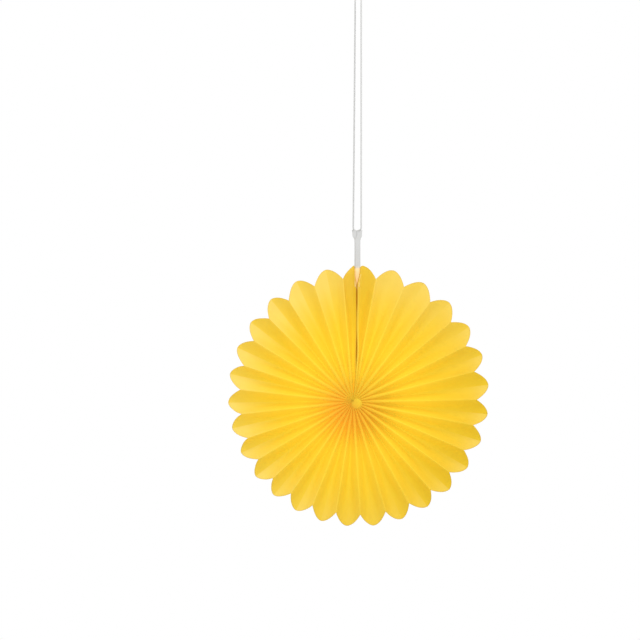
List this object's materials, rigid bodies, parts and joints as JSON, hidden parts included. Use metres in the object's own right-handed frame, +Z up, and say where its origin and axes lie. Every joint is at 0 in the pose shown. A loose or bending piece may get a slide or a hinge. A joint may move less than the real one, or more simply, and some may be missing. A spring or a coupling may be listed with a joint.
{
  "type": "paper fan rosette",
  "caption": "Round hanging decoration of one accordion-pleated paper sheet, opened to a full circle with rounded petal ends, on a narrow ribbon loop.",
  "frame": {"origin": "inside the top of the ribbon's loop, where the hook or thread that holds it bears", "axes": "+Z up; the rosette hangs below the origin in the XZ plane and its front faces -Y; +X is to the right seen from the front"},
  "size_m": [0.1536, 0.0112, 0.3228],
  "materials": {
    "tissue_paper": "matte",
    "ribbon": "satin"
  },
  "bodies": {
    "root": {"pleated_fan": "tissue_paper", "hanging_ribbon": "ribbon"}
  },
  "joints": []
}
